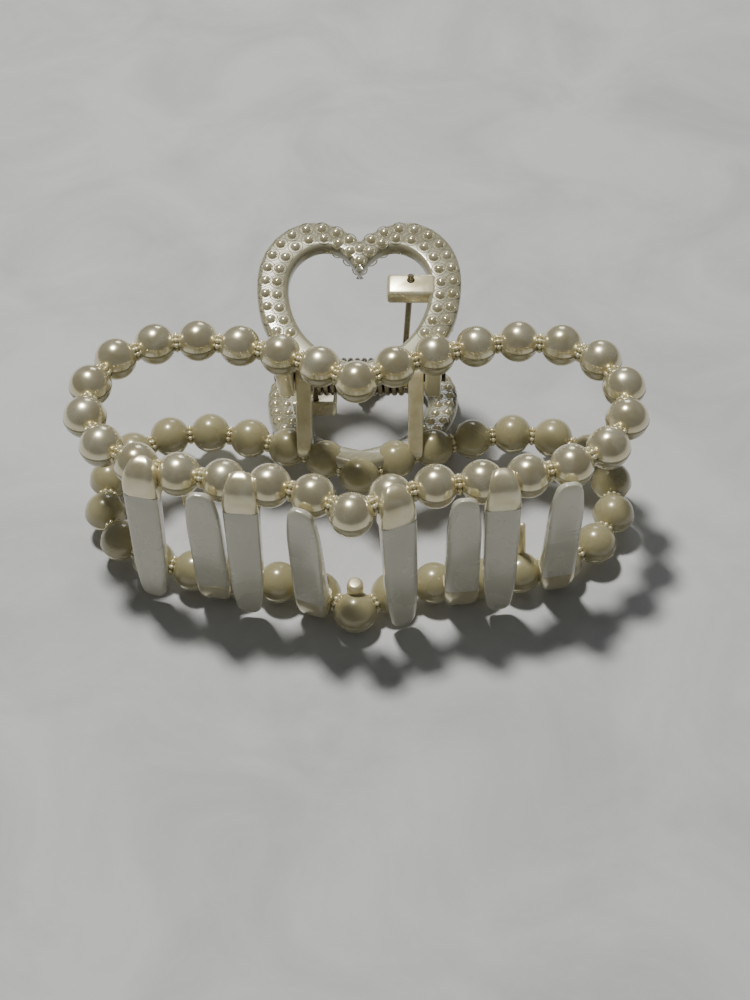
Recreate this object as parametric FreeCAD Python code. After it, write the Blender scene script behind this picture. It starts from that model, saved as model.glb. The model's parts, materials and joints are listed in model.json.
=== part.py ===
"""Pearl claw clip: two moulded bead-loop halves on a sprung hinge pin.

The clip is drawn in its own working frame, in millimetres: +X along the hinge, +Y from
the bead loops back to the heart handles, z = 0 on the plane between the two halves, and
y = 0 at the dip in the middle of each loop's back edge.  The finished clip is then laid
down on its lower half, with the origin under the middle of its outer box.
"""
import FreeCAD
import Part
import math
import os

Vector = FreeCAD.Vector
CENTRE = Vector(0, 0, 0)
X_AXIS = Vector(1, 0, 0)
Y_AXIS = Vector(0, 1, 0)
Z_AXIS = Vector(0, 0, 1)

# Bead loops
LOOP_HALF_WIDTH = 51.6
LOOP_CREST_RISE = 11.4
LOOP_FRONT_DEPTH = 33.8
LOOP_HALF_GAP = 13.8
LOOP_FLARE_DEG = 1.5
BEAD_DIAMETER = 8.2
BEAD_PITCH = 8.45
BEAD_SEAM_TURN_DEG = 135.0
BEAD_CORNER_DEG = 15.0
NECK_DIAMETER = 2.6
LOOP_STEPS = 2400

# The loop's right side, as shares of its half width and of its rise or depth.
BACK_OUTLINE = ((0.142, 0.38), (0.293, 0.66), (0.60, 1.0), (0.905, 0.58))
FRONT_OUTLINE = ((1.0, 0.14), (0.917, 0.494), (0.625, 0.713), (0.30, 0.793), (0.137, 0.866))

# Teeth of the upper half; the lower half's are these turned over about the Y axis.
TOOTH_PLACES = (-38.1, -20.0, 7.0, 26.9)
TOOTH_FACING = 0.6
TOOTH_ROOT_WIDTH = 6.6
TOOTH_MID_WIDTH = 6.2
TOOTH_TIP_WIDTH = 4.2
TOOTH_THICKNESS = 3.4
TOOTH_TIP_THICKNESS = 1.6
TOOTH_ROOT_STANDOFF = 1.4
TOOTH_SHOULDER_RISE = 4.2
TOOTH_SHOULDER_ARCH = 2.6
TOOTH_BACK_SWELL = 0.3
TOOTH_PASS_CLEARANCE = 0.9
TOOTH_OVERRUN = 2.4
TOOTH_TAPER_LENGTH = 11.0

# Grip spikes and the centre nub on the inner side of each loop
SPIKE_BEADS = (7.2, -32.4)
SPIKE_LENGTH = 12.0
SPIKE_ROOT_DIAMETER = 2.6
SPIKE_TIP_DIAMETER = 1.2
SPIKE_SETBACK = 2.6
NUB_LENGTH = 6.0
NUB_DIAMETER = 3.2

# Heart handles
HEART_REACH = 23.0
HEART_TILT_DEG = 12.0
HEART_ROOT_DROP = 2.0
HEART_HALF_WIDTH = 20.4
HEART_LOBE_RISE = 15.6
HEART_CUSP_RISE = 11.0
HEART_POINT_DROP = 24.0
HEART_BAND_WIDTH = 6.5
HEART_CUSP_WIDTH = 8.4
HEART_POINT_WIDTH = 5.6
HEART_THICKNESS = 3.0
SEED_DIAMETER = 2.4
SEED_RISE = 0.8
SEED_PITCH = 3.15
SEED_OUTER_ROW = 0.27
SEED_INNER_ROW = 0.64
SEED_CUSP_TIP = 0.78
HEART_STEPS = 240
TILT_TOLERANCE = 1e-7

# A heart's right side from cusp to point, as shares of its half width and of its rise or
# drop; where a lobe starts is a share of the way from the cusp up to the lobe.
LOBE_START = (0.22, 0.72)
HEART_TOP = ((0.5, 1.0), (0.80, 0.80), (0.985, 0.30))
RIM_SIDE = ((0.985, 0.13), (0.91, 0.40), (0.61, 0.73))
WINDOW_SIDE = ((0.985, 0.20), (0.863, 0.49), (0.626, 0.745), (0.29, 0.915))

# Hinge and ears
HINGE_REACH = 14.8
PIN_DIAMETER = 2.0
PIN_STICK_OUT = 1.0
PIN_CLEARANCE = 0.06
EAR_RADIUS = 4.0
EAR_FOOT_WIDTH = 6.4
INNER_EAR_THICKNESS = 3.1
OUTER_EAR_THICKNESS = 3.2
EAR_GAP = 0.3
BOSS_LENGTH = 2.0
BOSS_CLEARANCE = 0.35

# Torsion spring and the blocks that take its legs
WIRE_DIAMETER = 1.25
COIL_DIAMETER = 7.8
COIL_PITCH = 1.38
COIL_TURNS = 13
COIL_END_CLEARANCE = 0.3
LEG_STICK_OUT = 1.0
LEG_CLEARANCE = 0.15
BLOCK_LENGTH = 8.4
BLOCK_WIDTH = 5.3
BLOCK_HEIGHT = 3.5
BLOCK_EDGE_RADIUS = 0.7
BLOCK_ROOT_OVERLAP = 2.0

# Worked out from the sizes above
BEAD_RADIUS = BEAD_DIAMETER / 2
TOOTH_OUTER = TOOTH_ROOT_STANDOFF + TOOTH_THICKNESS
TOOTH_LEAN = BEAD_RADIUS + TOOTH_PASS_CLEARANCE + TOOTH_TIP_THICKNESS - TOOTH_OUTER
HEART_CORE_HALF = HEART_THICKNESS / 2
HEART_TILT = math.radians(HEART_TILT_DEG)
HEART_HEIGHT = LOOP_HALF_GAP - HEART_ROOT_DROP + HEART_REACH * math.tan(HEART_TILT)
COIL_RADIUS = (COIL_DIAMETER - WIRE_DIAMETER) / 2
BOSS_RADIUS = COIL_RADIUS - WIRE_DIAMETER / 2 - BOSS_CLEARANCE
HINGE = Vector(0, HINGE_REACH, 0)
BLOCK_CENTRE = Vector(0, HEART_REACH, HEART_HEIGHT)


def turned_over(shape):
    """The lower half's copy of an upper shape: half a turn about the Y axis."""
    copy = shape.copy()
    copy.rotate(CENTRE, Y_AXIS, 180)
    return copy


def mirrored_pairs(points):
    """The same points on the left side, in reverse order."""
    return [Vector(-p.x, p.y, p.z) for p in reversed(points)]


def along_x(face_points, low, high):
    """A prism between two x values with its outline given as (y, z) points."""
    corners = [Vector(low, y, z) for y, z in face_points]
    outline = Part.makePolygon(corners + corners[:1])
    return Part.Face(outline).extrude(Vector(high - low, 0, 0))


# ---------------------------------------------------------------- bead loops

def loop_plane_height(y):
    """Height of the upper loop's bead centres; the jaws open a little towards the front."""
    return LOOP_HALF_GAP - y * math.tan(math.radians(LOOP_FLARE_DEG))


def make_loop_side():
    """The right side of the curve through the upper loop's bead centres, from dip to front."""
    outline = [(0, 0)]
    outline += [(sx * LOOP_HALF_WIDTH, sy * LOOP_CREST_RISE) for sx, sy in BACK_OUTLINE]
    outline += [(sx * LOOP_HALF_WIDTH, -sy * LOOP_FRONT_DEPTH) for sx, sy in FRONT_OUTLINE]
    outline.append((0, -LOOP_FRONT_DEPTH))
    curve = Part.BSplineCurve()
    curve.interpolate(Points=[Vector(x, y, loop_plane_height(y)) for x, y in outline],
                      InitialTangent=X_AXIS, FinalTangent=X_AXIS * -1)
    return curve.toShape()


def place_beads(loop_side):
    """Bead centres at equal spacing round the loop, the same on both sides."""
    steps = round(loop_side.Length / BEAD_PITCH)
    right = loop_side.discretize(Number=steps + 1)
    return right + mirrored_pairs(right[1:-1])


def make_bead(before, centre, after):
    """One bead, with its surface's seam clear of its necks, tooth and spike.

    The seam runs down the inside of the ring, between a neck and a spike's place; on a
    corner bead, whose necks both bend inwards and which has no tooth, down the outside.
    """
    along = after - before
    outward = Vector(-along.y, along.x, 0)
    turn = math.degrees(math.atan2(outward.y, outward.x))
    bend = math.asin((before + after - centre * 2).dot(outward.normalize()) / (-2 * BEAD_PITCH))
    if math.degrees(bend) < BEAD_CORNER_DEG:
        turn += BEAD_SEAM_TURN_DEG
    bead = Part.makeSphere(BEAD_RADIUS)
    bead.rotate(CENTRE, Z_AXIS, turn)
    bead.translate(centre)
    return bead


def make_bead_loop(centres):
    """Beads in a closed ring, each joined to the next by a short round neck."""
    solids = []
    for index, centre in enumerate(centres):
        after = centres[(index + 1) % len(centres)]
        step = after - centre
        solids.append(make_bead(centres[index - 1], centre, after))
        solids.append(Part.makeCylinder(NECK_DIAMETER / 2, step.Length, centre, step))
    return solids[0].fuse(solids[1:])


def loop_station(loop_side, x, front):
    """Point of the loop's front or back run at a given x, and its outward direction."""
    line = loop_side.discretize(Number=LOOP_STEPS + 1)
    reach = abs(x)
    crossings = []
    for a, b in zip(line, line[1:]):
        if (a.x - reach) * (b.x - reach) <= 0:
            crossings.append((a + (b - a) * ((reach - a.x) / (b.x - a.x)), b - a))
    point, along = min(crossings, key=lambda c: c[0].y if front else -c[0].y)
    outward = Vector(-along.y, along.x, 0).normalize()
    side = math.copysign(1, x)
    return Vector(side * point.x, point.y, point.z), Vector(side * outward.x, outward.y, 0)


# --------------------------------------------------------------------- teeth

def make_tooth(reach):
    """One tooth hanging from the bead line, which runs along X through the origin.

    Its face is towards -Y.  The front outline has an arched shoulder, near-parallel
    sides and a tapered round tip; the side outline leans forwards to pass the beads
    of the other half.
    """
    root = TOOTH_ROOT_WIDTH / 2
    mid = TOOTH_MID_WIDTH / 2
    tip = TOOTH_TIP_WIDTH / 2
    arch_foot = TOOTH_SHOULDER_RISE - TOOTH_SHOULDER_ARCH
    arch = Part.Arc(Vector(-root, 0, arch_foot), Vector(0, 0, TOOTH_SHOULDER_RISE),
                    Vector(root, 0, arch_foot))
    tip_top = -reach + tip
    tip_arc = Part.Arc(Vector(tip, 0, tip_top), Vector(0, 0, -reach), Vector(-tip, 0, tip_top))
    taper = -reach + TOOTH_TAPER_LENGTH
    right = [Vector(root, 0, arch_foot), Vector(mid, 0, taper), Vector(tip, 0, tip_top)]
    left = mirrored_pairs(right)
    edges = [arch.toShape()]
    edges += [Part.makeLine(a, b) for a, b in zip(right, right[1:])]
    edges.append(tip_arc.toShape())
    edges += [Part.makeLine(a, b) for a, b in zip(left, left[1:])]
    front_face = Part.Face(Part.Wire(edges))
    face_depth = 2 * (TOOTH_OUTER + TOOTH_LEAN)
    front_prism = front_face.extrude(Vector(0, -face_depth, 0))

    inner = TOOTH_ROOT_STANDOFF
    outer = TOOTH_OUTER
    lean = TOOTH_LEAN
    side = [(-inner, TOOTH_SHOULDER_RISE), (-inner - TOOTH_THICKNESS / 2, TOOTH_SHOULDER_RISE),
            (-outer, arch_foot), (-outer - lean, -reach + tip),
            (-outer - lean + TOOTH_TIP_THICKNESS / 2, -reach),
            (-outer - lean + TOOTH_TIP_THICKNESS, -reach),
            (-outer - lean + TOOTH_TIP_THICKNESS, -reach + tip),
            (-outer - lean + TOOTH_TIP_THICKNESS + TOOTH_BACK_SWELL, taper + BEAD_RADIUS),
            (-inner, -BEAD_RADIUS)]
    return front_prism.common(along_x(side, -root, root))


def place_tooth(loop_side, x):
    """A tooth at x on the upper loop's front run, turned part of the way with the run."""
    point, outward = loop_station(loop_side, x, True)
    tooth = make_tooth(2 * point.z + TOOTH_OVERRUN)
    turn = TOOTH_FACING * math.degrees(math.atan2(outward.x, -outward.y))
    tooth.rotate(CENTRE, Z_AXIS, turn)
    tooth.translate(point)
    return tooth


# ------------------------------------------------------------ spikes and nub

def make_spike(bead):
    """A slender cone set a little behind a front bead, pointing at the other half."""
    foot = bead + Vector(0, SPIKE_SETBACK, 0)
    return Part.makeCone(SPIKE_ROOT_DIAMETER / 2, SPIKE_TIP_DIAMETER / 2, SPIKE_LENGTH, foot,
                         Z_AXIS * -1)


def make_nub(bead):
    """A short stub behind the front centre bead."""
    foot = bead + Vector(0, SPIKE_SETBACK, 0)
    return Part.makeCylinder(NUB_DIAMETER / 2, NUB_LENGTH, foot, Z_AXIS * -1)


def nearest_front_bead(centres, x):
    """The bead of the front run whose centre is closest to x."""
    front = [c for c in centres if c.y < -LOOP_FRONT_DEPTH / 3]
    return min(front, key=lambda c: abs(c.x - x))


# -------------------------------------------------------------------- hearts

def heart_side(half_width, lobe_rise, cusp_rise, point_drop, side_shares):
    """Right side of a heart outline as a curve from its cusp to its point."""
    across, up = LOBE_START
    lobe_start = Vector(across * half_width, cusp_rise + up * (lobe_rise - cusp_rise), 0)
    points = [Vector(0, cusp_rise, 0), lobe_start]
    points += [Vector(sx * half_width, sy * lobe_rise, 0) for sx, sy in HEART_TOP]
    points += [Vector(sx * half_width, -sy * point_drop, 0) for sx, sy in side_shares]
    points.append(Vector(0, -point_drop, 0))
    curve = Part.BSplineCurve()
    curve.interpolate(Points=points)
    return curve


def heart_face(side_curve):
    """A flat heart from its right side and that side's mirror image."""
    right = side_curve.toShape()
    left = right.mirror(CENTRE, X_AXIS)
    return Part.Face(Part.Wire([right, left]))


def seed_row(outer, inner, share, start):
    """Points at equal spacing down a heart band, at a share of its width from the rim."""
    outer_points = outer.discretize(Number=HEART_STEPS + 1)
    inner_points = inner.discretize(Number=HEART_STEPS + 1)
    line = [a * (1 - share) + b * share for a, b in zip(outer_points, inner_points)]
    places = []
    travelled = 0.0
    wanted = start
    for a, b in zip(line, line[1:]):
        travelled += (b - a).Length
        if travelled >= wanted:
            places.append(b)
            wanted += SEED_PITCH
    return [p for p in places if p.x > SEED_PITCH / 2]


def heart_seeds(outer, inner):
    """Centres of the seed pearls on one face: two staggered rows a side, two at the cusp."""
    right = seed_row(outer, inner, SEED_OUTER_ROW, SEED_PITCH)
    right += seed_row(outer, inner, SEED_INNER_ROW, SEED_PITCH)
    cusp = Vector(0, HEART_CUSP_RISE - SEED_OUTER_ROW * HEART_CUSP_WIDTH, 0)
    cusp_tip = Vector(0, HEART_CUSP_RISE - SEED_CUSP_TIP * HEART_CUSP_WIDTH, 0)
    clear = LOOP_CREST_RISE + BEAD_RADIUS - HEART_REACH
    right = [p for p in right if p.y > clear - SEED_PITCH]
    return right + mirrored_pairs(right) + [cusp, cusp_tip]


def on_heart_plane(shape):
    """Carry a shape from the flat heart drawing to the upper handle's place."""
    shape.rotate(CENTRE, X_AXIS, HEART_TILT_DEG)
    shape.translate(Vector(0, HEART_REACH, HEART_HEIGHT))
    return shape


def heart_point(flat):
    """A point of the flat heart drawing, carried to the upper handle's place."""
    turn = FreeCAD.Rotation(X_AXIS, HEART_TILT_DEG)
    return turn.multVec(flat) + Vector(0, HEART_REACH, HEART_HEIGHT)


def make_heart():
    """The upper heart handle with its seed pearls, and the seed pearls' sphere centres."""
    outer = heart_side(HEART_HALF_WIDTH, HEART_LOBE_RISE, HEART_CUSP_RISE, HEART_POINT_DROP,
                       RIM_SIDE)
    inner = heart_side(HEART_HALF_WIDTH - HEART_BAND_WIDTH, HEART_LOBE_RISE - HEART_BAND_WIDTH,
                       HEART_CUSP_RISE - HEART_CUSP_WIDTH, HEART_POINT_DROP - HEART_POINT_WIDTH,
                       WINDOW_SIDE)
    band = heart_face(outer).extrude(Z_AXIS * HEART_THICKNESS)
    window = heart_face(inner).extrude(Z_AXIS * HEART_THICKNESS)
    band = band.cut(window)
    band.translate(Z_AXIS * -HEART_CORE_HALF)

    seed_radius = SEED_DIAMETER / 2
    sunk = HEART_CORE_HALF + SEED_RISE - seed_radius
    cap_angle = math.degrees(math.asin((seed_radius - SEED_RISE) / seed_radius))
    caps = []
    seed_centres = []
    for place in heart_seeds(outer, inner):
        for side in (1, -1):
            centre = place + Z_AXIS * (side * sunk)
            caps.append(Part.makeSphere(seed_radius, centre, Z_AXIS * side, cap_angle, 90, 360))
            seed_centres.append(heart_point(centre))
    return on_heart_plane(band.fuse(caps)), seed_centres


# ---------------------------------------------------------------------- ears

def make_ear(foot, low_x, high_x, bore_radius):
    """A flat ear from its foot on a loop down to a round end bored for the pin."""
    span = foot - HINGE
    span.x = 0
    across = span.cross(X_AXIS).normalize()
    corners = [HINGE + across * EAR_RADIUS, HINGE - across * EAR_RADIUS,
               HINGE + span - across * (EAR_FOOT_WIDTH / 2),
               HINGE + span + across * (EAR_FOOT_WIDTH / 2)]
    web = along_x([(c.y, c.z) for c in corners], low_x, high_x)
    thickness = high_x - low_x
    at = Vector(low_x, HINGE_REACH, 0)
    ear = web.fuse(Part.makeCylinder(EAR_RADIUS, thickness, at, X_AXIS))
    return ear.cut(Part.makeCylinder(bore_radius, thickness, at, X_AXIS))


def make_inner_ear(foot, face_x):
    """A lower ear with the boss that carries one end of the coil."""
    ear = make_ear(foot, face_x, face_x + INNER_EAR_THICKNESS, PIN_DIAMETER / 2)
    at = Vector(face_x - BOSS_LENGTH, HINGE_REACH, 0)
    boss = Part.makeCylinder(BOSS_RADIUS, BOSS_LENGTH, at, X_AXIS)
    boss = boss.cut(Part.makeCylinder(PIN_DIAMETER / 2, BOSS_LENGTH, at, X_AXIS))
    return ear.fuse(boss)


# -------------------------------------------------------------------- spring

def leg_start():
    """Angle about the hinge at which the upper leg leaves the coil towards its block."""
    to_block = BLOCK_CENTRE - HINGE
    distance = math.hypot(to_block.y, to_block.z)
    return math.atan2(to_block.z, to_block.y) - math.acos(COIL_RADIUS / distance)


def coil_angle():
    """Whole turns, less what the two legs take, so that both legs meet their blocks."""
    return 2 * math.pi * COIL_TURNS + 2 * leg_start()


def coil_half_length():
    """Distance from the coil's middle to the wire's centre at its last turn."""
    return COIL_PITCH * coil_angle() / (4 * math.pi)


def leg_line():
    """Where the upper leg leaves the coil, and its direction."""
    start_angle = leg_start()
    start = HINGE + Vector(coil_half_length(), COIL_RADIUS * math.cos(start_angle),
                           COIL_RADIUS * math.sin(start_angle))
    climb = COIL_PITCH / (2 * math.pi)
    direction = Vector(climb, -COIL_RADIUS * math.sin(start_angle),
                       COIL_RADIUS * math.cos(start_angle))
    return start, direction.normalize()


def leg_length():
    """From the coil through the block, and a little out of its far side."""
    start, direction = leg_line()
    square = Vector(0, -math.sin(HEART_TILT), math.cos(HEART_TILT))
    to_far_face = (BLOCK_CENTRE - start).dot(square) + BLOCK_HEIGHT / 2
    return to_far_face / direction.dot(square) + LEG_STICK_OUT


def make_spring():
    """A close coil about the hinge with one straight leg to each block."""
    turn = coil_angle()
    length = 2 * coil_half_length()
    helix = Part.makeHelix(COIL_PITCH, length, COIL_RADIUS)
    rise = COIL_PITCH / (2 * math.pi)
    wire_section = Part.Wire(Part.makeCircle(WIRE_DIAMETER / 2, Vector(COIL_RADIUS, 0, 0),
                                             Vector(0, COIL_RADIUS, rise)))
    coil = Part.Wire(helix.Edges).makePipeShell([wire_section], True, True)
    coil.rotate(CENTRE, Z_AXIS, math.degrees(leg_start() - turn))
    coil.translate(Z_AXIS * (-length / 2))
    coil.rotate(CENTRE, Vector(1, 1, 1), 120)
    coil.translate(HINGE)

    start, direction = leg_line()
    leg = Part.makeCylinder(WIRE_DIAMETER / 2, leg_length(), start, direction)
    return coil.fuse([leg, turned_over(leg)])


def make_block(heart):
    """The upper block inside the heart's right edge, bored for the spring's leg."""
    inner_edge = HEART_HALF_WIDTH - HEART_BAND_WIDTH
    length = BLOCK_LENGTH + BLOCK_ROOT_OVERLAP
    corner = Vector(inner_edge - BLOCK_LENGTH, -BLOCK_WIDTH / 2, -BLOCK_HEIGHT / 2)
    block = Part.makeBox(length, BLOCK_WIDTH, BLOCK_HEIGHT, corner)
    block = block.makeFillet(BLOCK_EDGE_RADIUS, block.Edges)
    block = on_heart_plane(block)
    start, direction = leg_line()
    bore = Part.makeCylinder(WIRE_DIAMETER / 2 + LEG_CLEARANCE, 2 * leg_length(), start, direction)
    return block.cut([heart, bore])


# ------------------------------------------------------------------ assembly

def largest_solid(shape):
    """The main solid left after a cut, without loose slivers beside it."""
    return max(shape.Solids, key=lambda solid: solid.Volume)


def build_clip():
    """Every piece of the clip, in the working frame, and its resting spheres."""
    loop_side = make_loop_side()
    beads = place_beads(loop_side)
    loop = make_bead_loop(beads)
    heart, seed_centres = make_heart()
    heart = largest_solid(heart.cut(loop))
    block = largest_solid(make_block(heart))

    upper = {"bead_loop": loop, "heart_handle": heart, "spring_block": block}
    teeth = [place_tooth(loop_side, x) for x in TOOTH_PLACES]
    for number, tooth in enumerate(teeth, 1):
        upper["tooth_%d" % number] = largest_solid(tooth.cut(loop))
    for number, x in enumerate(SPIKE_BEADS, 1):
        spike = make_spike(nearest_front_bead(beads, x))
        upper["grip_spike_%d" % number] = largest_solid(spike.cut(loop))
    upper["centre_nub"] = largest_solid(make_nub(nearest_front_bead(beads, 0)).cut(loop))

    pieces = {}
    for name, shape in upper.items():
        pieces["upper_" + name] = shape
        pieces["lower_" + name] = turned_over(shape)
    pieces["lower_bead_loop"] = make_bead_loop([Vector(c.x, c.y, -c.z) for c in beads])

    inner_face = coil_half_length() + WIRE_DIAMETER / 2 + COIL_END_CLEARANCE
    outer_face = inner_face + INNER_EAR_THICKNESS + EAR_GAP
    inner_foot, _ = loop_station(loop_side, inner_face + INNER_EAR_THICKNESS / 2, False)
    outer_foot, _ = loop_station(loop_side, outer_face + OUTER_EAR_THICKNESS / 2, False)
    inner_foot.z = -inner_foot.z
    running_bore = PIN_DIAMETER / 2 + PIN_CLEARANCE
    inner_ear = make_inner_ear(inner_foot, inner_face)
    outer_ear = make_ear(outer_foot, outer_face, outer_face + OUTER_EAR_THICKNESS, running_bore)
    for side, name in ((1, "right"), (-1, "left")):
        ears = [inner_ear, outer_ear]
        if side < 0:
            ears = [ear.mirror(CENTRE, X_AXIS) for ear in ears]
        lower_ear = ears[0].cut([pieces["lower_bead_loop"], pieces["lower_heart_handle"]])
        upper_ear = ears[1].cut([pieces["upper_bead_loop"], pieces["upper_heart_handle"]])
        pieces["lower_hinge_ear_" + name] = largest_solid(lower_ear)
        pieces["upper_hinge_ear_" + name] = largest_solid(upper_ear)

    pin_half = outer_face + OUTER_EAR_THICKNESS + PIN_STICK_OUT
    pieces["hinge_pin"] = Part.makeCylinder(PIN_DIAMETER / 2, 2 * pin_half,
                                            Vector(-pin_half, HINGE_REACH, 0), X_AXIS)
    pieces["torsion_spring"] = make_spring()
    return pieces, beads, seed_centres


def lowest(centres, radius, tilt):
    """Lowest height that the lower half's spheres reach when the clip is tilted about X."""
    return min(c.y * math.sin(tilt) - c.z * math.cos(tilt) for c in centres) - radius


def resting_tilt(beads, seed_centres):
    """Tilt at which the front beads and the heart's seed pearls reach the same height."""
    low, high = 0.0, HEART_TILT
    while high - low > TILT_TOLERANCE:
        tilt = (low + high) / 2
        beads_at = lowest(beads, BEAD_RADIUS, tilt)
        seeds_at = lowest(seed_centres, SEED_DIAMETER / 2, tilt)
        if seeds_at < beads_at:
            low = tilt
        else:
            high = tilt
    return (low + high) / 2


def main():
    pieces, beads, seed_centres = build_clip()
    tilt = resting_tilt(beads, seed_centres)
    for shape in pieces.values():
        shape.rotate(CENTRE, X_AXIS, math.degrees(tilt))
    box = Part.makeCompound(list(pieces.values())).optimalBoundingBox(False, False)
    shift = Vector(0, -(box.YMin + box.YMax) / 2, -box.ZMin)

    os.makedirs("parts", exist_ok=True)
    for name, shape in sorted(pieces.items()):
        shape.translate(shift)
        shape.exportStep("parts/%s.step" % name)
        print("%-24s solids %d  volume %9.2f  valid %s"
              % (name, len(shape.Solids), shape.Volume, shape.isValid()))
    hinge = FreeCAD.Rotation(X_AXIS, math.degrees(tilt)).multVec(HINGE) + shift
    print("tilt %.3f deg  shift %.3f %.3f" % (math.degrees(tilt), shift.y, shift.z))
    print("hinge at y %.3f z %.3f" % (hinge.y, hinge.z))
    print("box x %.2f y %.2f z %.2f  beads %d" % (box.XLength, box.YLength, box.ZLength, len(beads)))


main()
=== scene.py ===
"""Pearl claw clip: pearl rings, satin teeth, seeded hearts, hinge and spring, around the packed frame."""

import json
import math

import bpy
import numpy as np
from mathutils import Matrix, Vector


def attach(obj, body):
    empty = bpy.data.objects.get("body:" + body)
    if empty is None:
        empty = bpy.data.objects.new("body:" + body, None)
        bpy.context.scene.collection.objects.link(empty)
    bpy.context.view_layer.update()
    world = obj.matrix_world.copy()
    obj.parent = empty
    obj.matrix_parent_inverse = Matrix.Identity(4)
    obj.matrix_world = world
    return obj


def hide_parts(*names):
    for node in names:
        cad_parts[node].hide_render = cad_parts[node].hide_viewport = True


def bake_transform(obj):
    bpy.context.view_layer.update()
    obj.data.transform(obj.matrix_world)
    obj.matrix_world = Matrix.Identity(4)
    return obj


bl_info = {
    "name": "Pearl Claw Clip",
    "version": (1, 0, 0),
    "blender": (4, 5, 0),
    "location": "3D Viewport > Sidebar > Claw Clip",
    "description": "Builds the looks of a pearl claw clip around its packed frame",
    "category": "Object",
}

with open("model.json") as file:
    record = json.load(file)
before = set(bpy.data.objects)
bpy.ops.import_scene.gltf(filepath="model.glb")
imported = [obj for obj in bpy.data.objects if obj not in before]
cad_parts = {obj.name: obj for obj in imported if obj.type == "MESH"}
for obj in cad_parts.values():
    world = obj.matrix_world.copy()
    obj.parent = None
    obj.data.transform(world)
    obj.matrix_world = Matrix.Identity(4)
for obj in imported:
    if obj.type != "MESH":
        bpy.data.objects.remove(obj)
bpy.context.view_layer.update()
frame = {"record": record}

MM = 0.001
JOINTS = frame["record"]["behaviour"]["joints"]
HINGE_JOINT = next(j for j in JOINTS if j["name"] == "jaw_hinge")
HINGE_PLACE = Vector(HINGE_JOINT["pos_m"])

# A ring of pearls, right side only, as shares of its half width and of its rise or depth.
RING_BACK = ((0.142, 0.38), (0.293, 0.66), (0.60, 1.0), (0.905, 0.58))
RING_FRONT = ((1.0, 0.14), (0.917, 0.494), (0.625, 0.713), (0.30, 0.793), (0.137, 0.866))

# A heart, right side only, as shares of its half width and of its lobe rise or point drop.
LOBE_START = (0.22, 0.72)
HEART_TOP = ((0.5, 1.0), (0.80, 0.80), (0.985, 0.30))
RIM_SIDE = ((0.985, 0.13), (0.91, 0.40), (0.61, 0.73))
WINDOW_SIDE = ((0.985, 0.20), (0.863, 0.49), (0.626, 0.745), (0.29, 0.915))

# Where the upper half's teeth and spikes stand; half a turn about Y gives the lower half's.
TOOTH_PLACES = (-38.1 * MM, -20.0 * MM, 7.0 * MM, 26.9 * MM)
SPIKE_PLACES = (7.2 * MM, -32.4 * MM)

# A tooth's shoulder: a dome over a straight foot, which fades flush into the flat blade.
DOME_SHARE = 0.72
DOME_STEPS = 14
DOME_START_DEG = 87
DOME_SIDE_POWER, DOME_FRONT_POWER = 0.62, 0.8
FOOT_SHARE, FOOT_DEPTH, FOOT_SPREAD = 0.12, 0.97, 1.015
FOOT_PROUD = 0.04 * MM
SHOULDER_ROUNDING, BLADE_ROUNDING = 0.24, 0.2

# A blade: its top as a share of the shoulder's height, then its taper and its round tip.
BLADE_TOP_SHARE = 0.9
TAPER_POWER = 1.7
TIP_SHARE = 0.2
TIP_STEPS_DEG = (8, 22, 36, 50, 62, 73, 82, 88)
TIP_LEAST_DEPTH, TIP_LEAST_WIDTH = 0.4, 0.25

LINE_SAMPLES, SEED_ROW_SAMPLES, BAND_SAMPLES = 600, 240, 96
GRAINS_AROUND = 9
STEPS_PER_TURN = 28
LEG_STEPS = (0.33, 0.66, 1.0)
DRILL_CENTRE = 0.9
WELD = 0.01 * MM
SHARP_EDGE = math.radians(40)

# Metallic share, roughness and subsurface share of each pearl finish.
PEARL_FINISHES = {
    "ring_pearl": (0.74, 0.18, 0.2),
    "grain_lacquer": (0.40, 0.16, 0.2),
    "shoulder_pearl": (0.62, 0.17, 0.2),
    "moulded_pearl": (0.48, 0.28, 0.3),
    "seed_lacquer": (0.65, 0.12, 0.1),
    "block_pearl": (0.45, 0.22, 0.1),
}

# Name, place, size, power and tint of each light.
LIGHTS = (("key_light", (-0.18, 0.26, 0.95), 0.11, 9.5, (1.0, 0.985, 0.96)),
          ("back_fill", (0.1, 1.4, 0.75), 0.35, 1.6, (0.96, 0.98, 1.0)))
LIT_POINT = Vector((0.0, 0.0, 0.02))
SKY_TINT, SKY_STRENGTH = (0.92, 0.95, 1.0, 1.0), 0.12

CREAM = (0.72, 0.63, 0.37, 1.0)
IVORY = (0.88, 0.82, 0.58, 1.0)
BARE = (0.40, 0.36, 0.20, 1.0)
HEART_CREAM = (0.34, 0.32, 0.21, 1.0)
SATIN = (0.60, 0.585, 0.47, 1.0)
STEEL = (0.36, 0.31, 0.20, 1.0)
DARK_STEEL = (0.13, 0.12, 0.10, 1.0)
BLACK_STEEL = (0.05, 0.05, 0.05, 1.0)
FLOOR_PALE = (0.60, 0.605, 0.60, 1.0)


def length(name, description, millimetres):
    """A length setting with its default in millimetres."""
    return bpy.props.FloatProperty(name=name, description=description, default=millimetres * MM,
                                   unit="LENGTH", precision=5)


def tilted(name, description, degrees):
    """An angle setting with its default in degrees."""
    return bpy.props.FloatProperty(name=name, description=description,
                                   default=math.radians(degrees), subtype="ANGLE")


def plain(name, description, default):
    """A plain number setting."""
    return bpy.props.FloatProperty(name=name, description=description, default=default)


def colour(name, description, default):
    """A colour setting."""
    return bpy.props.FloatVectorProperty(name=name, description=description, default=default,
                                         size=4, min=0.0, max=1.0, subtype="COLOR")


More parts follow.
